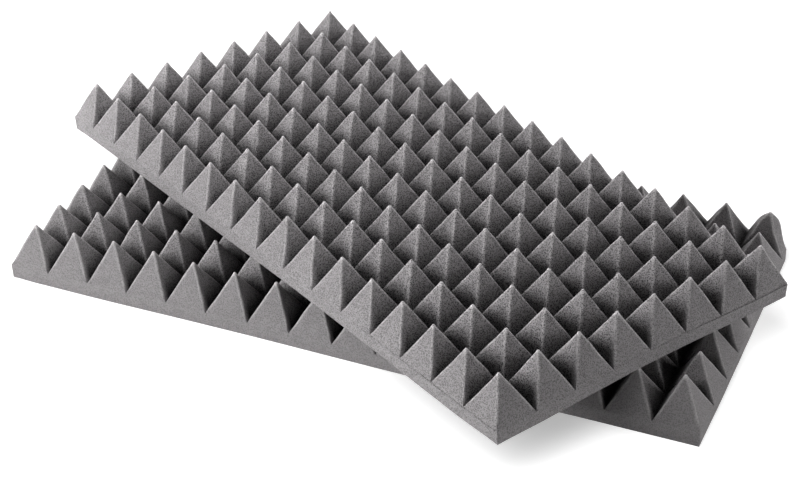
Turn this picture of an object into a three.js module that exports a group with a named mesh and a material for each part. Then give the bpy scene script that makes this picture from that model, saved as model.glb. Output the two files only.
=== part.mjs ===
// Two sheets of open-cell pyramid foam that quieten a room. The lower sheet lies flat on its back. The
// upper one lies on its tips, turned in plan, and two of its corners hang down where nothing carries them.
// Millimetres, +Z up. The origin is the middle of the lower sheet's back, and its long side runs along X.
import * as THREE from 'three';

// The sheet, which is cut in one piece
const sheetLength = 1000;
const sheetWidth = 500;
const slabThickness = 20; // the unbroken foam behind the relief
const pyramidHeight = 55; // from the valleys to the tips
const pyramidsAlong = 16;
const pyramidsAcross = 8;

// A tip is a little blunt: its straight faces end at a shoulder, and a short bevel leads to a small flat
const tipWidth = 2;
const shoulderWidth = 5;
const shoulderDrop = 1.6; // from the flat down to the shoulder

// How the upper sheet lies on the lower one
const upperShiftX = -20;
const upperShiftY = 35;
const upperTurn = 28.9; // degrees, clockwise from above
const restingGap = 0.3; // between the lower sheet's tips and the back that lies on them

// How far its corners hang down past the lower sheet's edges
const frontDroop = 10;
const backDroop = 4;
const rightDroop = 3;
const droopPower = 1.5; // how a droop grows with the reach past the edge

const foamColour = 0x888586;
const foamRoughness = 0.97;

const pitchAlong = sheetLength / pyramidsAlong;
const pitchAcross = sheetWidth / pyramidsAcross;
const sheetHeight = slabThickness + pyramidHeight;

// Four corners of a rectangle about a centre, counterclockwise from above
function rectangle(centre, length, width) {
  const [halfLength, halfWidth] = [length / 2, width / 2];
  return [
    [centre.x - halfLength, centre.y - halfWidth],
    [centre.x + halfLength, centre.y - halfWidth],
    [centre.x + halfLength, centre.y + halfWidth],
    [centre.x - halfLength, centre.y + halfWidth],
  ];
}

// One sheet, in its own frame: its back is centred on the origin. bendAt(x, y) says how far the foam over
// that point hangs below where it would lie on something flat, and how it leans in X and Y with its height.
function foamSheet(bendAt) {
  const positions = [];
  const triangles = [];

  function vertex(x, y, height) {
    const { droop, lean } = bendAt(x, y);
    positions.push(x + lean.x * height, y + lean.y * height, height - droop);
    return positions.length / 3 - 1;
  }

  function quad(a, b, c, d) {
    triangles.push(a, b, c, a, c, d);
  }

  // Joins a ring of vertices to the ring above it. Both run counterclockwise from above.
  function stitch(below, above) {
    below.forEach((start, k) => {
      const next = (k + 1) % below.length;
      quad(start, below[next], above[next], above[k]);
    });
  }

  // Where the valleys cross, and the same pattern on the back
  function crossings(height) {
    return Array.from({ length: pyramidsAlong + 1 }, (_, i) =>
      Array.from({ length: pyramidsAcross + 1 }, (_, j) =>
        vertex(i * pitchAlong - sheetLength / 2, j * pitchAcross - sheetWidth / 2, height)));
  }
  const back = crossings(0);
  const valleys = crossings(slabThickness);

  // The crossings round the sheet's edge, counterclockwise from the corner with the lowest x and y
  function rim(grid) {
    const [last, lastAcross] = [pyramidsAlong, pyramidsAcross];
    return [
      ...Array.from({ length: last }, (_, i) => grid[i][0]),
      ...Array.from({ length: lastAcross }, (_, j) => grid[last][j]),
      ...Array.from({ length: last }, (_, i) => grid[last - i][lastAcross]),
      ...Array.from({ length: lastAcross }, (_, j) => grid[0][lastAcross - j]),
    ];
  }
  stitch(rim(back), rim(valleys));

  // A pyramid is a loft from the valleys round it, through the shoulder, to the flat of its tip
  function pyramid(i, j) {
    const foot = [valleys[i][j], valleys[i + 1][j], valleys[i + 1][j + 1], valleys[i][j + 1]];
    const centre = {
      x: (i + 0.5) * pitchAlong - sheetLength / 2,
      y: (j + 0.5) * pitchAcross - sheetWidth / 2,
    };
    const shoulder = rectangle(centre, shoulderWidth, shoulderWidth)
      .map(([x, y]) => vertex(x, y, sheetHeight - shoulderDrop));
    const flat = rectangle(centre, tipWidth, tipWidth).map(([x, y]) => vertex(x, y, sheetHeight));
    stitch(foot, shoulder);
    stitch(shoulder, flat);
    quad(...flat);
  }

  for (let i = 0; i < pyramidsAlong; i += 1) {
    for (let j = 0; j < pyramidsAcross; j += 1) {
      pyramid(i, j);
      quad(back[i][j], back[i][j + 1], back[i + 1][j + 1], back[i + 1][j]);
    }
  }

  const geometry = new THREE.BufferGeometry();
  geometry.setAttribute('position', new THREE.Float32BufferAttribute(positions, 3));
  geometry.setIndex(triangles);
  geometry.computeVertexNormals();
  return geometry;
}

function foamMaterial() {
  return new THREE.MeshStandardMaterial({
    color: foamColour,
    roughness: foamRoughness,
    metalness: 0,
    flatShading: true,
  });
}

const lowerPanel = new THREE.Mesh(
  foamSheet(() => ({ droop: 0, lean: new THREE.Vector3() })),
  foamMaterial(),
);
lowerPanel.name = 'lower_panel';

// Where the upper sheet lies, which its bend needs before its mesh is made
const upperPlace = new THREE.Object3D();
upperPlace.position.set(upperShiftX, upperShiftY, sheetHeight + restingGap);
upperPlace.rotation.z = -THREE.MathUtils.degToRad(upperTurn);
upperPlace.updateMatrixWorld();
const intoUpperSheet = upperPlace.quaternion.clone().invert();

// The lower sheet's edges that the upper one hangs past, each with the way out over it
const overhangs = [
  { outward: new THREE.Vector3(0, -1, 0), halfSize: sheetWidth / 2, cornerDroop: frontDroop },
  { outward: new THREE.Vector3(0, 1, 0), halfSize: sheetWidth / 2, cornerDroop: backDroop },
  { outward: new THREE.Vector3(1, 0, 0), halfSize: sheetLength / 2, cornerDroop: rightDroop },
];

// How far a point of the upper sheet lies past one of those edges
function reachPast({ outward, halfSize }, x, y) {
  const point = new THREE.Vector3(x, y, 0).applyMatrix4(upperPlace.matrixWorld);
  return Math.max(0, point.dot(outward) - halfSize);
}

// A droop grows with the reach, up to that of the corner which reaches furthest. The foam stays square to
// its back, so it leans out by the slope of the droop.
function upperBend(x, y) {
  const bend = { droop: 0, lean: new THREE.Vector3() };
  overhangs.forEach((overhang) => {
    const corners = rectangle({ x: 0, y: 0 }, sheetLength, sheetWidth);
    const furthest = Math.max(...corners.map(([cornerX, cornerY]) => reachPast(overhang, cornerX, cornerY)));
    const reach = reachPast(overhang, x, y);
    if (reach > 0) {
      const droop = overhang.cornerDroop * (reach / furthest) ** droopPower;
      const slope = (droop * droopPower) / reach;
      bend.droop += droop;
      bend.lean.addScaledVector(overhang.outward.clone().applyQuaternion(intoUpperSheet), slope);
    }
  });
  return bend;
}

const upperPanel = new THREE.Mesh(foamSheet(upperBend), foamMaterial());
upperPanel.name = 'upper_panel';
upperPanel.position.copy(upperPlace.position);
upperPanel.rotation.copy(upperPlace.rotation);

const panels = new THREE.Group();
panels.name = 'acoustic_foam_panels';
panels.add(lowerPanel, upperPanel);

export default panels;
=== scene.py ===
from math import cos, pi, radians, sin, sqrt

import bpy
import numpy as np
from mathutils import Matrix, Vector


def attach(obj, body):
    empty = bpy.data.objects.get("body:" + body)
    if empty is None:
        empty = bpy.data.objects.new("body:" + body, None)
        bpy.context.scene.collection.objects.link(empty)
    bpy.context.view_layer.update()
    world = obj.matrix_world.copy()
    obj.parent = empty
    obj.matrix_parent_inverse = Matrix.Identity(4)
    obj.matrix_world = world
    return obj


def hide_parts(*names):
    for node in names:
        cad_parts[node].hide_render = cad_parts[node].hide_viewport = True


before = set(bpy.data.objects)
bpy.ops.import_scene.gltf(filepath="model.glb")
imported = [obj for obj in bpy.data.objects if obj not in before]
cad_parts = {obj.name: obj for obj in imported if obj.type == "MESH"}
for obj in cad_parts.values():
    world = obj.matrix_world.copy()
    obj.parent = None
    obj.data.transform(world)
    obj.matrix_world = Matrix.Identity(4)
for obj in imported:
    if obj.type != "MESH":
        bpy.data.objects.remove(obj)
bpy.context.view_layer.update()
scene = bpy.context.scene
mm = 0.001
print("frame loaded:", ", ".join(sorted(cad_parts)))


# The camera comes first. It stands low in front, a little to the right of the sheets' middle.
photoCamera = {
    "position": (0.8554, -2.0271, 1.3914),
    "target": (-0.0330, 0.0594, 0.0),
    "lens": 81.82,  # millimetres, like the sensor
    "sensorWidth": 36,
    "roll": -0.11,
}


def aimAt(thing, target):
    thing.rotation_euler = (Vector(target) - thing.location).to_track_quat("-Z", "Y").to_euler()


def addCamera(choice):
    lensData = bpy.data.cameras.new("photoCamera")
    lensData.sensor_fit = "HORIZONTAL"
    lensData.sensor_width = choice["sensorWidth"]
    lensData.lens = choice["lens"]
    camera = bpy.data.objects.new("photoCamera", lensData)
    camera.location = choice["position"]
    aimAt(camera, choice["target"])
    camera.rotation_euler.rotate_axis("Z", radians(choice["roll"]))
    scene.collection.objects.link(camera)
    scene.camera = camera


addCamera(photoCamera)
print("camera placed")


# What both sheets are cut to. They come out of one block, so they share every size.
foamSheet = {
    "length": 1000 * mm,
    "width": 500 * mm,
    "pyramidsAlong": 16,
    "pyramidsAcross": 8,
    "slabTop": 20 * mm,  # the valleys
    "tipTop": 75 * mm,
    "shoulderTop": 73.1 * mm,  # where a straight face starts to round over
    "shoulderHalf": 2.2 * mm,
    "ridgeRadius": 2.2 * mm,
    "ridgeGrowth": 6,  # a ridge has its full radius after one part in so many of its face
    "narrowRadius": 0.75,  # near the tip, as a share of a ring's half width
    "tipRadius": 0.8,  # the same, over the shoulder
    "tipAngles": (30, 55, 78),
    "edgeRadius": 0.9 * mm,  # along the back's rim
    "edgeAngles": (0, 45, 90),
    "footSteps": 6,  # mesh steps along one foot of a pyramid
    "faceShares": (0.02, 0.08, 0.18, 0.3, 0.42, 0.54, 0.66, 0.77, 0.88, 0.95, 1.0),
    "sideHeights": (20 * mm, 19 * mm, 15 * mm, 10 * mm, 5 * mm, 1.6 * mm),
}
pitch = foamSheet["length"] / foamSheet["pyramidsAlong"]


# A square ring, counterclockwise from above. Each side starts with its corner's middle point.
def squareRing(half, reach, roundness):
    cut = reach * roundness * (1 - cos(pi / 4))
    along = np.linspace(reach - half, half - reach, foamSheet["footSteps"] + 1)
    side = np.array([(cut - half, cut - half)] + [(x, -half) for x in along])
    quarter = np.array([(0, 1), (-1, 0)])
    ring = [side]
    for _ in range(3):
        ring.append(ring[-1] @ quarter)
    return np.vstack(ring)


# From the valleys up the straight faces, over the shoulder and round the tip
def pyramidRings():
    sheet = foamSheet
    rings = [(pitch / 2, sheet["slabTop"], sheet["ridgeRadius"], 0)]
    for share in sheet["faceShares"]:
        half = pitch / 2 + (sheet["shoulderHalf"] - pitch / 2) * share
        top = sheet["slabTop"] + (sheet["shoulderTop"] - sheet["slabTop"]) * share
        reach = min(sheet["ridgeRadius"], half * sheet["narrowRadius"])
        rings.append((half, top, reach, min(1, share * sheet["ridgeGrowth"])))
    roundOver = sheet["tipTop"] - sheet["shoulderTop"]
    for angle in sheet["tipAngles"]:
        half = sheet["shoulderHalf"] * cos(radians(angle))
        top = sheet["shoulderTop"] + roundOver * sin(radians(angle))
        rings.append((half, top, half * sheet["tipRadius"], 1))
    return rings


# The points, quads and tip triangles of one pyramid, about its own middle
def onePyramid():
    points = []
    for half, top, reach, roundness in pyramidRings():
        flat = squareRing(half, reach, roundness)
        points.append(np.column_stack([flat, np.full(len(flat), top)]))
    size = len(points[0])
    quads = []
    for level in range(len(points) - 1):
        for k in range(size):
            after = (k + 1) % size
            low = level * size
            high = low + size
            quads.append((low + k, low + after, high + after, high + k))
    last = (len(points) - 1) * size
    tip = last + size
    triangles = [(last + k, last + (k + 1) % size, tip) for k in range(size)]
    return np.vstack(points + [[(0, 0, foamSheet["tipTop"])]]), quads, triangles


# Stations along an edge of the sheet, at the same places as the feet of the pyramids on it
def edgeStations(count):
    radius = foamSheet["ridgeRadius"]
    inner = np.linspace(radius, pitch - radius, foamSheet["footSteps"] + 1)
    cell = np.concatenate([[0], inner])
    return np.concatenate([cell + k * pitch for k in range(count)]) - count * pitch / 2


# Keeps a point inside the outline, drawn in by a little where the edges round over
def drawnIn(flat, inset):
    limit = np.array([foamSheet["length"] / 2 - inset, foamSheet["width"] / 2 - inset])
    return np.clip(flat, -limit, limit)


# The slab's sides, down from the outermost valleys and round the back's rim
def slabSides():
    alongX = edgeStations(foamSheet["pyramidsAlong"])
    alongY = edgeStations(foamSheet["pyramidsAcross"])
    front = np.full(len(alongX), -foamSheet["width"] / 2)
    right = np.full(len(alongY), foamSheet["length"] / 2)
    outline = np.vstack([
        np.column_stack([alongX, front]),
        np.column_stack([right, alongY]),
        np.column_stack([-alongX, -front]),
        np.column_stack([-right, -alongY]),
    ])
    radius = foamSheet["edgeRadius"]
    rows = [(top, 0) for top in foamSheet["sideHeights"]]
    for angle in foamSheet["edgeAngles"]:
        rows.append((radius * (1 - sin(radians(angle))), radius * (1 - cos(radians(angle)))))
    size = len(outline)
    points = [np.column_stack([drawnIn(outline, inset), np.full(size, top)]) for top, inset in rows]
    quads = []
    for row in range(len(rows) - 1):
        for k in range(size):
            after = (k + 1) % size
            high = row * size
            low = high + size
            quads.append((low + k, low + after, high + after, high + k))
    return np.vstack(points), quads


# The back of one pyramid's cell, a fan that shares its outer points with its neighbours
def backOfCell():
    flat = squareRing(pitch / 2, foamSheet["ridgeRadius"], 0)
    points = np.column_stack([flat, np.zeros(len(flat))])
    size = len(points)
    triangles = [(size, (k + 1) % size, k) for k in range(size)]
    return np.vstack([points, [(0, 0, 0)]]), triangles


# All of the sheet, lying flat, as points and faces. Points that fall together are joined.
def flatSheet():
    firstX = pitch / 2 - foamSheet["length"] / 2
    firstY = pitch / 2 - foamSheet["width"] / 2
    pyramid, pyramidQuads, pyramidTriangles = onePyramid()
    back, backTriangles = backOfCell()
    points, quads, triangles = [], [], []
    used = 0
    for i in range(foamSheet["pyramidsAlong"]):
        for j in range(foamSheet["pyramidsAcross"]):
            centre = [firstX + i * pitch, firstY + j * pitch, 0]
            relief = pyramid + centre
            under = back + centre
            under[:, :2] = drawnIn(under[:, :2], foamSheet["edgeRadius"])
            points += [relief, under]
            quads.append(np.array(pyramidQuads) + used)
            triangles.append(np.array(pyramidTriangles) + used)
            triangles.append(np.array(backTriangles) + used + len(relief))
            used += len(relief) + len(under)
    sidePoints, sideQuads = slabSides()
    points.append(sidePoints)
    quads.append(np.array(sideQuads) + used)
    micrometres = np.round(np.vstack(points) * 1000 / mm)
    _, first, shared = np.unique(micrometres, axis=0, return_index=True, return_inverse=True)
    shared = shared.ravel()
    faces = shared[np.vstack(quads)].tolist() + shared[np.vstack(triangles)].tolist()
    return np.vstack(points)[first], faces


flatPoints, sheetFaces = flatSheet()
print("flat sheet:", len(flatPoints), "points,", len(sheetFaces), "faces")


# The knife doesn't cut two pyramids quite alike
knifeWork = {
    "tipScatter": 0.4 * mm,
    "tipWear": 0.4 * mm,
    "waviness": 0.25 * mm,
    "waveLength": 34 * mm,
    "waveSpread": (0.7, 1.5),  # of the waves' lengths, as shares of that one
    "waveCount": 12,
    "flatBack": 4 * mm,  # up to here the waves grow from nothing at the back
}


# Soft foam gives a little at its corners and edges. A give has a middle and a reach in the sheet's own
# plan, and moves the back and the tips there by so much, all in millimetres.
def give(at, reach, back=(0, 0, 0), tips=(0, 0, 0)):
    return {"at": at, "reach": reach, "back": back, "tips": tips}


# The lower sheet lies on its back, which the floor keeps flat. The pressed gives are tips that the upper
# sheet's sagging edges weigh down.
lowerPanel = {
    **knifeWork,
    "seed": 11,
    "place": (0, 0, 0),
    "turn": 0,
    "gives": {
        "leftEdge": give((-500, 0), (75, 330), back=(4.5, 1.5, 0), tips=(-3, -1.5, 0.5)),
        "frontMiddle": give((120, -250), (260, 90), back=(2, -2.5, 0), tips=(0, 1, 0)),
        "frontLeft": give((-350, -200), (150, 110), back=(4.5, -1.5, 0), tips=(-1, 2, 3)),
        "frontRight": give((500, -250), (100, 110), back=(-1, 0, 0), tips=(-2, 3, 5)),
        "backRight": give((500, 250), (130, 90), tips=(-3.5, -2, -2.5)),
        "frontLeftCorner": give((-500, -250), (40, 40), back=(3, 1, 0)),
        "squashedCorner": give((500, 250), (34, 34), back=(-8, -10, 0), tips=(-8, -10, -16)),
        "cornerBulge": give((480, 230), (28, 28), tips=(9, 3, 0)),
        "cornerFlank": give((455, 236), (24, 24), tips=(0, 0, 8)),
        "pressedBackLeft": give((-470, 219), (45, 45), tips=(0, 0, -4.8)),
        "pressedLeft": give((-470, 156), (45, 45), tips=(0, 0, -1.7)),
        "pressedFront": give((0, -218), (150, 45), tips=(0, 0, -1.3)),
        "pressedRight": give((460, -20), (110, 160), tips=(0, 0, -1.2)),
    },
}

# The upper sheet rests on the lower one's tips. It hangs down past them, most of all at its front corner,
# where a crease runs along the foot of the outer faces.
upperPanel = {
    **knifeWork,
    "seed": 23,
    "place": (-20.0 * mm, 35.0 * mm, 75.3 * mm),
    "turn": -28.9,
    "gives": {
        "leftEdge": give((-500, 0), (75, 330), back=(4.5, 2.5, -5.5), tips=(-2, -2.5, -3.5)),
        "frontMiddle": give((200, -250), (240, 110), back=(2.5, 1.5, -1.5), tips=(0.5, 1, -1.5)),
        "frontCorner": give((500, -250), (80, 80), back=(-0.5, 1, 1.5), tips=(-4, -2, 2)),
        "rightEnd": give((500, 200), (220, 160), back=(1, -0.5, -1.5), tips=(3, 2.5, -0.5)),
        "secondTip": give((469, -156), (45, 45), tips=(-1.5, -1, 3.5)),
        "backMiddle": give((-180, 250), (200, 90), tips=(1, -1, -3)),
        "frontLeftCorner": give((-500, -250), (40, 40), back=(2.5, 3, -4)),
    },
    "droops": {"front": 10 * mm, "back": 4.3 * mm, "left": 0.8 * mm, "right": 0.7 * mm},
    "droopPower": 1.15,
    "crease": {"depth": 2.4 * mm, "from": -50 * mm, "endDepth": 2.2 * mm},
}


# A smooth random field of about unit size
def slowWaves(points, panel, rng):
    count = panel["waveCount"]
    ways = rng.normal(size=(count, 3))
    ways /= np.linalg.norm(ways, axis=1)[:, None]
    lengths = panel["waveLength"] * rng.uniform(*panel["waveSpread"], count)
    phases = rng.uniform(0, 2 * pi, count)
    return np.sin(points @ (ways * (2 * pi / lengths[:, None])).T + phases).sum(1) / sqrt(count / 2)


# How high a point stands between the valleys and the tips, from 0 to 1
def reliefShare(points):
    share = (points[:, 2] - foamSheet["slabTop"]) / (foamSheet["tipTop"] - foamSheet["slabTop"])
    return np.clip(share, 0, 1)


# Tips stray sideways, and are worn down by different amounts
def scatterTips(points, panel, rng):
    along, across = foamSheet["pyramidsAlong"], foamSheet["pyramidsAcross"]
    stray = rng.normal(0, panel["tipScatter"], (along, across, 3))
    stray[:, :, 2] = -rng.uniform(0, panel["tipWear"], (along, across))
    i = np.clip(((points[:, 0] + foamSheet["length"] / 2) / pitch).astype(int), 0, along - 1)
    j = np.clip(((points[:, 1] + foamSheet["width"] / 2) / pitch).astype(int), 0, across - 1)
    return points + stray[i, j] * reliefShare(points)[:, None]


# Faces and sides are a little wavy. The back stays flat.
def waveFaces(points, panel, rng):
    off = np.clip(points[:, 2] / panel["flatBack"], 0, 1) * panel["waviness"]
    bent = points.copy()
    bent[:, 0] += slowWaves(points, panel, rng) * off
    bent[:, 1] += slowWaves(points, panel, rng) * off
    return bent


# A give fades out towards the end of its reach, and its tips' share grows with the height
def giveWay(points, panel):
    eased = points.copy()
    height = np.clip(points[:, 2] / foamSheet["tipTop"], 0, 1)
    for softSpot in panel["gives"].values():
        (middleX, middleY), (reachX, reachY) = softSpot["at"], softSpot["reach"]
        away = ((points[:, 0] / mm - middleX) / reachX) ** 2 + ((points[:, 1] / mm - middleY) / reachY) ** 2
        weight = np.clip(1 - away, 0, None) ** 2
        back, tips = np.array(softSpot["back"]) * mm, np.array(softSpot["tips"]) * mm
        eased += (weight * (1 - height))[:, None] * back + (weight * height)[:, None] * tips
    return eased


# The hanging end is creased where the relief's outer faces meet the slab. Along the front the crease grows
# towards the front corner, and along the end it grows away from it.
def creaseFoot(points, crease):
    creased = points.copy()
    halfLength, halfWidth = foamSheet["length"] / 2, foamSheet["width"] / 2
    near = 0.1 * mm
    foot = np.abs(points[:, 2] - foamSheet["slabTop"]) < near
    front = foot & (points[:, 1] < near - halfWidth)
    end = foot & (points[:, 0] > halfLength - near)
    grown = np.clip((points[:, 0] - crease["from"]) / (halfLength - crease["from"]), 0, 1)
    grownEnd = np.clip(points[:, 1] / (2 * halfWidth) + 0.5, 0, 1)
    creased[front, 1] += crease["depth"] * grown[front]
    creased[end, 0] -= crease["endDepth"] * grownEnd[end]
    return creased


# Where points of a sheet lie in plan once it is in place
def planPlace(points, panel):
    turn = radians(panel["turn"])
    x = points[:, 0] * cos(turn) - points[:, 1] * sin(turn) + panel["place"][0]
    y = points[:, 0] * sin(turn) + points[:, 1] * cos(turn) + panel["place"][1]
    return x, y


# Hangs a sheet down past the last tips that carry it. The foam stays square to its back, so it leans out.
def hangPast(points, panel):
    x, y = planPlace(points, panel)
    turn = radians(panel["turn"])
    ways = {"front": (0, -1), "back": (0, 1), "left": (-1, 0), "right": (1, 0)}
    bent = points.copy()
    for side, droop in panel["droops"].items():
        outX, outY = ways[side]
        carried = (foamSheet["length"] if outX else foamSheet["width"]) / 2 - pitch / 2
        reach = np.maximum(0, outX * x + outY * y - carried)
        furthest = reach.max()
        share = reach / furthest
        slope = droop * panel["droopPower"] / furthest * share ** (panel["droopPower"] - 1)
        bent[:, 0] += points[:, 2] * slope * (outX * cos(turn) + outY * sin(turn))
        bent[:, 1] += points[:, 2] * slope * (outY * cos(turn) - outX * sin(turn))
        bent[:, 2] -= droop * share ** panel["droopPower"]
    return bent


sharpAngle = 50  # degrees between two faces that keep a hard edge


# The mesh keeps where each point lay before the sheet was bent, so that the finish follows the cut
def sheetMesh(name, points):
    mesh = bpy.data.meshes.new(name)
    mesh.from_pydata(points.tolist(), [], sheetFaces)
    mesh.update()
    mesh.shade_smooth()
    mesh.set_sharp_from_angle(angle=radians(sharpAngle))
    place = mesh.attributes.new("sheetPlace", "FLOAT_VECTOR", "POINT")
    place.data.foreach_set("vector", flatPoints.astype(np.float32).ravel())
    return mesh


def addPanel(name, node, body, panel):
    rng = np.random.default_rng(panel["seed"])
    flat = creaseFoot(flatPoints, panel["crease"]) if "crease" in panel else flatPoints
    points = waveFaces(scatterTips(flat, panel, rng), panel, rng)
    points = giveWay(points, panel)
    if "droops" in panel:
        points += hangPast(flat, panel) - flat
    piece = bpy.data.objects.new(name, sheetMesh(name, points))
    piece.location = panel["place"]
    piece.rotation_euler = (0, 0, radians(panel["turn"]))
    scene.collection.objects.link(piece)
    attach(piece, body)
    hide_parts(node)
    return piece


lowerPiece = addPanel("lowerFoamPanel", "lower_panel", "lower", lowerPanel)
upperPiece = addPanel("upperFoamPanel", "upper_panel", "upper", upperPanel)
print("panels built")


# Shader helpers
def addNode(tree, kind, **settings):
    node = tree.nodes.new(kind)
    for setting, value in settings.items():
        setattr(node, setting, value)
    return node


def addMath(tree, operation, *inputs, clamp=False):
    node = addNode(tree, "ShaderNodeMath", operation=operation, use_clamp=clamp)
    for k, value in enumerate(inputs):
        if isinstance(value, (int, float)):
            node.inputs[k].default_value = value
        else:
            tree.links.new(value, node.inputs[k])
    return node.outputs[0]


def addRange(tree, value, fromLow, fromHigh, toLow, toHigh):
    node = addNode(tree, "ShaderNodeMapRange", interpolation_type="SMOOTHSTEP")
    tree.links.new(value, node.inputs["Value"])
    ends = {"From Min": fromLow, "From Max": fromHigh, "To Min": toLow, "To Max": toHigh}
    for socket, number in ends.items():
        if isinstance(number, (int, float)):
            node.inputs[socket].default_value = number
        else:
            tree.links.new(number, node.inputs[socket])
    return node.outputs[0]


# A group with its sockets, given as name: (kind, value) for inputs and name: kind for outputs
def newGroup(name, inputs, outputs):
    tree = bpy.data.node_groups.new(name, "ShaderNodeTree")
    for socket, (kind, value) in inputs.items():
        made = tree.interface.new_socket(socket, in_out="INPUT", socket_type=kind)
        if value is not None:
            made.default_value = value
    for socket, kind in outputs.items():
        tree.interface.new_socket(socket, in_out="OUTPUT", socket_type=kind)
    return tree, tree.nodes.new("NodeGroupInput"), tree.nodes.new("NodeGroupOutput")


# How the open cells look where the knife cuts through them. Noises are as fine as so many waves to a pore.
cellShape = {
    "pull": 0.45,  # the slow noise that pulls the cells about
    "struts": (0.15, 0.62),  # from a cell's middle to its strut, in pores
    "strutTone": 0.9,
    "fuzz": 1.3,  # the fine noise over them
    "fuzzDetail": 3,
    "fuzzRoughness": 0.65,
    "fuzzTone": (2.2, -1.05),  # what it is multiplied by, and what is added
    "patchDetail": 3,
    "patchRoughness": 0.6,
    "strutHeight": 1.4,
    "fuzzHeight": 1.2,
}


# Open cells cut through by the knife: uneven pores among thin struts, a fine fuzz and slow patches of tone
def cellGrainGroup():
    tree, given, made = newGroup(
        "openCellGrain",
        {
            "Place": ("NodeSocketVector", None),
            "Pore Size": ("NodeSocketFloat", 1.8 * mm),
            "Lump Size": ("NodeSocketFloat", 5 * mm),
            "Lump Height": ("NodeSocketFloat", 2.0),
            "Patch Size": ("NodeSocketFloat", 14 * mm),
            "Unevenness": ("NodeSocketFloat", 0.8),
        },
        {"Pores": "NodeSocketFloat", "Patches": "NodeSocketFloat", "Height": "NodeSocketFloat"},
    )
    link = tree.links.new
    shape = cellShape
    place = given.outputs["Place"]
    size = given.outputs["Pore Size"]

    def noise(waves, length, detail, roughness):
        node = addNode(tree, "ShaderNodeTexNoise", noise_dimensions="3D")
        link(place, node.inputs["Vector"])
        link(addMath(tree, "DIVIDE", waves, length), node.inputs["Scale"])
        node.inputs["Detail"].default_value = detail
        node.inputs["Roughness"].default_value = roughness
        return node

    pull = noise(shape["pull"], size, 1, 0.5)
    centred = addNode(tree, "ShaderNodeVectorMath", operation="SUBTRACT")
    link(pull.outputs["Color"], centred.inputs[0])
    centred.inputs[1].default_value = (0.5, 0.5, 0.5)
    pulled = addNode(tree, "ShaderNodeVectorMath", operation="SCALE")
    link(centred.outputs[0], pulled.inputs[0])
    link(addMath(tree, "MULTIPLY", size, given.outputs["Unevenness"]), pulled.inputs["Scale"])
    uneven = addNode(tree, "ShaderNodeVectorMath", operation="ADD")
    link(place, uneven.inputs[0])
    link(pulled.outputs[0], uneven.inputs[1])
    cells = addNode(tree, "ShaderNodeTexVoronoi", voronoi_dimensions="3D", feature="F1")
    link(uneven.outputs[0], cells.inputs["Vector"])
    link(addMath(tree, "DIVIDE", 1.0, size), cells.inputs["Scale"])
    struts = addRange(tree, cells.outputs["Distance"], *shape["struts"], 0.0, 1.0)

    fuzz = noise(shape["fuzz"], size, shape["fuzzDetail"], shape["fuzzRoughness"]).outputs["Fac"]
    patches = noise(1.0, given.outputs["Patch Size"], shape["patchDetail"], shape["patchRoughness"])
    lumps = noise(1.0, given.outputs["Lump Size"], 1, 0.5)
    speckle = addMath(tree, "MULTIPLY_ADD", fuzz, *shape["fuzzTone"])
    pores = addMath(tree, "MULTIPLY_ADD", struts, shape["strutTone"], speckle, clamp=True)
    link(pores, made.inputs["Pores"])
    link(patches.outputs["Fac"], made.inputs["Patches"])
    raised = addMath(tree, "MULTIPLY", struts, shape["strutHeight"])
    raised = addMath(tree, "MULTIPLY_ADD", fuzz, shape["fuzzHeight"], raised)
    lumpy = addMath(tree, "MULTIPLY", lumps.outputs["Fac"], given.outputs["Lump Height"])
    link(addMath(tree, "ADD", raised, lumpy), made.inputs["Height"])
    return tree


# Where the zones of the relief end. Its ridges and tips get a painted highlight, its valleys painted shade,
# and the outermost faces and the slab's sides have no valley in front of them.
reliefShape = {
    "ridgeStart": 0.25,  # how far up a ridge is marked in full, as a share of the relief's height
    "innerStart": 1.5 * mm,  # in from the outermost faces
    "innerFull": 12 * mm,
}


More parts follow.
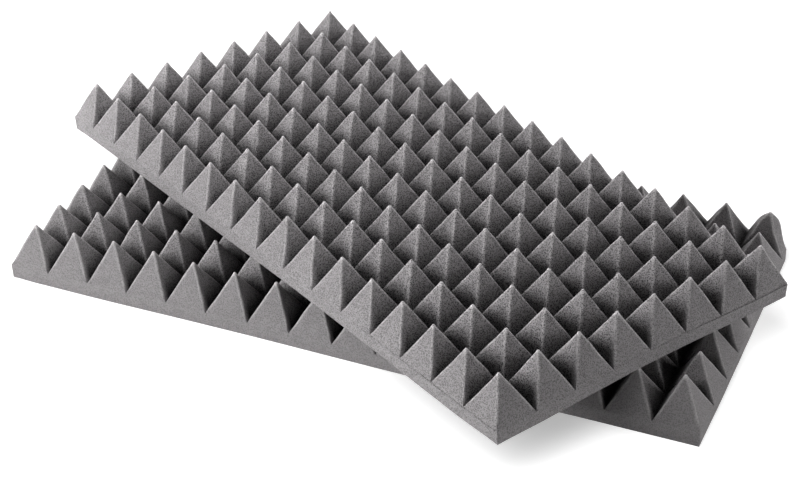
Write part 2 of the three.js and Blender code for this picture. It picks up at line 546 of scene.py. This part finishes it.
def reliefGroup():
    tree, given, made = newGroup(
        "reliefZones",
        {
            "Place": ("NodeSocketVector", None),
            "Pitch": ("NodeSocketFloat", pitch),
            "Ridge Width": ("NodeSocketFloat", 4.5 * mm),
            "Valley": ("NodeSocketFloat", foamSheet["slabTop"]),
            "Tip": ("NodeSocketFloat", foamSheet["tipTop"]),
            "Half Length": ("NodeSocketFloat", foamSheet["length"] / 2),
            "Half Width": ("NodeSocketFloat", foamSheet["width"] / 2),
        },
        {"Ridges": "NodeSocketFloat", "Height": "NodeSocketFloat", "Inner": "NodeSocketFloat"},
    )
    link = tree.links.new
    pitchIn = given.outputs["Pitch"]
    parts = addNode(tree, "ShaderNodeSeparateXYZ")
    link(given.outputs["Place"], parts.inputs[0])
    rise = addMath(tree, "SUBTRACT", parts.outputs["Z"], given.outputs["Valley"])
    span = addMath(tree, "SUBTRACT", given.outputs["Tip"], given.outputs["Valley"])
    height = addMath(tree, "DIVIDE", rise, span, clamp=True)
    link(height, made.inputs["Height"])

    offCentre = []
    fromSides = []
    for axis, half in (("X", "Half Length"), ("Y", "Half Width")):
        share = addMath(tree, "FRACT", addMath(tree, "DIVIDE", parts.outputs[axis], pitchIn))
        off = addMath(tree, "ABSOLUTE", addMath(tree, "SUBTRACT", share, 0.5))
        offCentre.append(addMath(tree, "MULTIPLY", off, pitchIn))
        out = addMath(tree, "ABSOLUTE", parts.outputs[axis])
        fromSides.append(addMath(tree, "SUBTRACT", given.outputs[half], out))
    apart = addMath(tree, "ABSOLUTE", addMath(tree, "SUBTRACT", *offCentre))
    near = addRange(tree, apart, 0.0, given.outputs["Ridge Width"], 1.0, 0.0)
    aboveFoot = addRange(tree, height, 0.0, reliefShape["ridgeStart"], 0.0, 1.0)
    link(addMath(tree, "MULTIPLY", near, aboveFoot), made.inputs["Ridges"])

    faceOut = addMath(tree, "MULTIPLY", height, addMath(tree, "MULTIPLY", pitchIn, 0.5))
    inside = addMath(tree, "SUBTRACT", addMath(tree, "MINIMUM", *fromSides), faceOut)
    inner = addRange(tree, inside, reliefShape["innerStart"], reliefShape["innerFull"], 0.0, 1.0)
    link(inner, made.inputs["Inner"])
    return tree


cellGrain = cellGrainGroup()
reliefZones = reliefGroup()

# The foam's finish, with painted highlights on its ridges and tips and painted shade in its valleys. Tones
# are linear, and the pores are darker because they are deep.
foamLook = {
    "strut": (0.350, 0.336, 0.342),
    "pore": (0.148, 0.142, 0.144),
    "patchTone": 0.10,
    # a painted highlight along the ridges
    "ridgeHighlight": 0.65,
    "ridgeWidth": 4.5 * mm,
    # a painted highlight at the tips, reaching down by tipReach
    "tipHighlight": 0.85,
    "tipReach": 0.12,  # down from the tip, as a share of the relief's height
    "valleyReach": 0.6,  # up from the valleys, the same
    "valleyShade": 0.28,  # painted shade: how much more of the bottom takes the pores' tone
    "poreShares": (0.48, 0.01),  # of the pores' tone on the inner faces, and at the bottom of the valleys, both painted shade
    # the struts' tone on the inner faces, paler as painted light, and at the bottom of the valleys, darker
    # as painted shade
    "strutShares": (1.15, 0.4),
    "roughness": 0.97,
    "specular": 0.05,
    "poreSize": 1.8 * mm,
    "lumpSize": 5 * mm,
    "lumpHeight": 2.0,
    "bump": 1.0,
    "bumpDepth": 0.35 * mm,
}


def foamMaterial(name, look):
    material = bpy.data.materials.new(name)
    material.use_nodes = True
    tree = material.node_tree
    tree.nodes.clear()
    link = tree.links.new
    place = addNode(tree, "ShaderNodeAttribute", attribute_name="sheetPlace")
    grain = addNode(tree, "ShaderNodeGroup", node_tree=cellGrain)
    grain.inputs["Pore Size"].default_value = look["poreSize"]
    grain.inputs["Lump Size"].default_value = look["lumpSize"]
    grain.inputs["Lump Height"].default_value = look["lumpHeight"]
    zones = addNode(tree, "ShaderNodeGroup", node_tree=reliefZones)
    zones.inputs["Ridge Width"].default_value = look["ridgeWidth"]
    link(place.outputs["Vector"], grain.inputs["Place"])
    link(place.outputs["Vector"], zones.inputs["Place"])

    # The tone goes from pore to strut, with painted shade making both darker where a valley is deep, and
    # darker pores with paler struts on the inner faces
    deep = addRange(tree, zones.outputs["Height"], 0.0, look["valleyReach"], 1.0, 0.0)
    deep = addMath(tree, "MULTIPLY", deep, zones.outputs["Inner"])
    struts = addMath(tree, "MULTIPLY_ADD", deep, -look["valleyShade"], grain.outputs["Pores"])
    tone = addNode(tree, "ShaderNodeMix", data_type="RGBA")
    link(struts, tone.inputs["Factor"])
    for socket, part in (("A", "pore"), ("B", "strut")):
        inside, atBottom = look[part + "Shares"]
        share = addMath(tree, "MULTIPLY_ADD", zones.outputs["Inner"], inside - 1, 1.0)
        dimmed = addNode(tree, "ShaderNodeVectorMath", operation="SCALE")
        dimmed.inputs["Vector"].default_value = look[part]
        link(addMath(tree, "MULTIPLY_ADD", deep, atBottom - inside, share), dimmed.inputs["Scale"])
        link(dimmed.outputs["Vector"], tone.inputs[socket])

    # Slow patches change it a little, and the ridges and tips get a painted highlight
    patchTone = look["patchTone"]
    patches = addMath(tree, "MULTIPLY_ADD", grain.outputs["Patches"], 2 * patchTone, 1 - patchTone)
    highlights = addMath(tree, "MULTIPLY_ADD", zones.outputs["Ridges"], look["ridgeHighlight"], 1.0)
    nearTip = addRange(tree, zones.outputs["Height"], 1 - look["tipReach"], 1.0, 0.0, look["tipHighlight"])
    highlights = addMath(tree, "ADD", highlights, nearTip)
    lit = addNode(tree, "ShaderNodeVectorMath", operation="SCALE")
    link(tone.outputs["Result"], lit.inputs["Vector"])
    link(addMath(tree, "MULTIPLY", patches, highlights), lit.inputs["Scale"])

    bump = addNode(tree, "ShaderNodeBump")
    bump.inputs["Strength"].default_value = look["bump"]
    bump.inputs["Distance"].default_value = look["bumpDepth"]
    link(grain.outputs["Height"], bump.inputs["Height"])
    shader = addNode(tree, "ShaderNodeBsdfPrincipled")
    shader.inputs["Roughness"].default_value = look["roughness"]
    shader.inputs["Specular IOR Level"].default_value = look["specular"]
    link(lit.outputs["Vector"], shader.inputs["Base Color"])
    link(bump.outputs["Normal"], shader.inputs["Normal"])
    output = addNode(tree, "ShaderNodeOutputMaterial")
    link(shader.outputs["BSDF"], output.inputs["Surface"])
    return material


# The lower sheet's grain has less contrast, and more painted shade darkens its valleys
lowerLook = {
    **foamLook,
    "strut": (0.320, 0.307, 0.312),
    "pore": (0.205, 0.197, 0.200),
    "valleyShade": 0.3,
    "poreShares": (0.6, 0.01),
    "strutShares": (1.15, 0.2),
}

for piece, look in ((lowerPiece, lowerLook), (upperPiece, foamLook)):
    piece.data.materials.append(foamMaterial(piece.name + "Foam", look))
print("foam finished")


# The studio: a plain white floor, and soft lamps round the sheets
studio = {
    "floorSize": 30,
    "floorDrop": 0.3 * mm,
    "floorTone": 0.85,  # of the floor that light bounces off
    "shownTone": 0.9,  # of the floor that the camera sees
    "shownGlow": 0.4,
    "fill": 0.02,  # light from all round
}

# Each lamp stands at a bearing from straight in front, clockwise from above, and looks at the middle. These
# light only the floor that the camera sees, and leave the sheets' soft shadow on it.
floorLamps = {
    "floorKey": {"bearing": 25, "height": 46, "distance": 5, "spread": 52, "strength": 3.4},
    "floorBack": {"bearing": -150, "height": 40, "distance": 5, "spread": 52, "strength": 1.65},
}

# These light everything else
lamps = {
    "frontLamp": {"bearing": 20, "height": 20, "distance": 1.5, "size": (0.6, 0.6), "power": 9.8},
    "leftLamp": {"bearing": 100, "height": 20, "distance": 1.5, "size": (0.6, 0.6), "power": 11.3},
    "leftStrip": {"bearing": 60, "height": 20, "distance": 3.0, "size": (2.0, 0.5), "power": 38},
    "rightStrip": {"bearing": -90, "height": 8, "distance": 3.0, "size": (2.0, 0.5), "power": 24},
    "backLamp": {"bearing": 180, "height": 20, "distance": 3.0, "size": (1.8, 1.8), "power": 20},
    "backLeftLamp": {"bearing": 150, "height": 45, "distance": 3.0, "size": (1.8, 1.8), "power": 30},
    "backRightLamp": {"bearing": -150, "height": 35, "distance": 3.0, "size": (1.8, 1.8), "power": 30},
}


def floorSheet(name, drop, shader):
    half = studio["floorSize"] / 2
    mesh = bpy.data.meshes.new(name)
    corners = [(-half, -half, -drop), (half, -half, -drop), (half, half, -drop), (-half, half, -drop)]
    mesh.from_pydata(corners, [], [(0, 1, 2, 3)])
    floor = bpy.data.objects.new(name, mesh)
    scene.collection.objects.link(floor)
    material = bpy.data.materials.new(name)
    material.use_nodes = True
    tree = material.node_tree
    tree.nodes.clear()
    output = addNode(tree, "ShaderNodeOutputMaterial")
    tree.links.new(shader(tree), output.inputs["Surface"])
    mesh.materials.append(material)
    return floor


def paleSurface(tree, tone):
    pale = addNode(tree, "ShaderNodeBsdfDiffuse")
    pale.inputs["Color"].default_value = (tone, tone, tone, 1)
    return pale.outputs[0]


def shownSurface(tree):
    glow = addNode(tree, "ShaderNodeEmission")
    glow.inputs["Strength"].default_value = studio["shownGlow"]
    both = addNode(tree, "ShaderNodeAddShader")
    tree.links.new(paleSurface(tree, studio["shownTone"]), both.inputs[0])
    tree.links.new(glow.outputs[0], both.inputs[1])
    return both.outputs[0]


def bounceSurface(tree):
    return paleSurface(tree, studio["floorTone"])


# The floor that the camera sees is a sheet of its own over the one that light bounces off. The low lamps
# would draw long grey shadows on it, so it has lamps of its own.
def addFloors():
    shown = floorSheet("shownFloor", studio["floorDrop"], shownSurface)
    shown.visible_diffuse = False
    shown.visible_shadow = False
    bounce = floorSheet("bounceFloor", 2 * studio["floorDrop"], bounceSurface)
    bounce.visible_camera = False
    bounce.visible_glossy = False
    bounce.visible_transmission = False
    onlyShown = bpy.data.collections.new("onlyShownFloor")
    allButShown = bpy.data.collections.new("allButShownFloor")
    for collection in (onlyShown, allButShown):
        collection.objects.link(shown)
    allButShown.collection_objects[0].light_linking.link_state = "EXCLUDE"
    return onlyShown, allButShown


def addWorld():
    world = bpy.data.worlds.new("studioWorld")
    world.use_nodes = True
    scene.world = world
    tree = world.node_tree
    tree.nodes.clear()
    link = tree.links.new
    path = addNode(tree, "ShaderNodeLightPath")
    seen = addMath(tree, "MAXIMUM", path.outputs["Is Camera Ray"], path.outputs["Is Glossy Ray"])
    seen = addMath(tree, "MAXIMUM", seen, path.outputs["Is Transmission Ray"])
    strength = addNode(tree, "ShaderNodeMix", data_type="FLOAT")
    link(seen, strength.inputs["Factor"])
    strength.inputs["A"].default_value = studio["fill"]
    strength.inputs["B"].default_value = 1.0
    background = addNode(tree, "ShaderNodeBackground")
    link(strength.outputs["Result"], background.inputs["Strength"])
    background.inputs["Color"].default_value = (1, 1, 1, 1)
    output = addNode(tree, "ShaderNodeOutputWorld")
    link(background.outputs[0], output.inputs["Surface"])


def placeLamp(name, lampData, choice, receivers):
    lamp = bpy.data.objects.new(name, lampData)
    bearing, height = radians(choice["bearing"]), radians(choice["height"])
    way = Vector((-sin(bearing) * cos(height), -cos(bearing) * cos(height), sin(height)))
    lamp.location = way * choice["distance"]
    aimAt(lamp, (0, 0, 0))
    lamp.visible_camera = False
    lamp.light_linking.receiver_collection = receivers
    scene.collection.objects.link(lamp)


def addLamp(name, choice, receivers):
    lampData = bpy.data.lights.new(name, "AREA")
    lampData.shape = "ELLIPSE"
    lampData.size, lampData.size_y = choice["size"]
    lampData.energy = choice["power"]
    placeLamp(name, lampData, choice, receivers)


def addFloorLamp(name, choice, receivers):
    lampData = bpy.data.lights.new(name, "SUN")
    lampData.angle = radians(choice["spread"])
    lampData.energy = choice["strength"]
    placeLamp(name, lampData, choice, receivers)


onlyShown, allButShown = addFloors()
addWorld()
for lampName, lampChoice in lamps.items():
    addLamp(lampName, lampChoice, allButShown)
for lampName, lampChoice in floorLamps.items():
    addFloorLamp(lampName, lampChoice, onlyShown)
scene.view_settings.view_transform = "Standard"
print("studio lit")
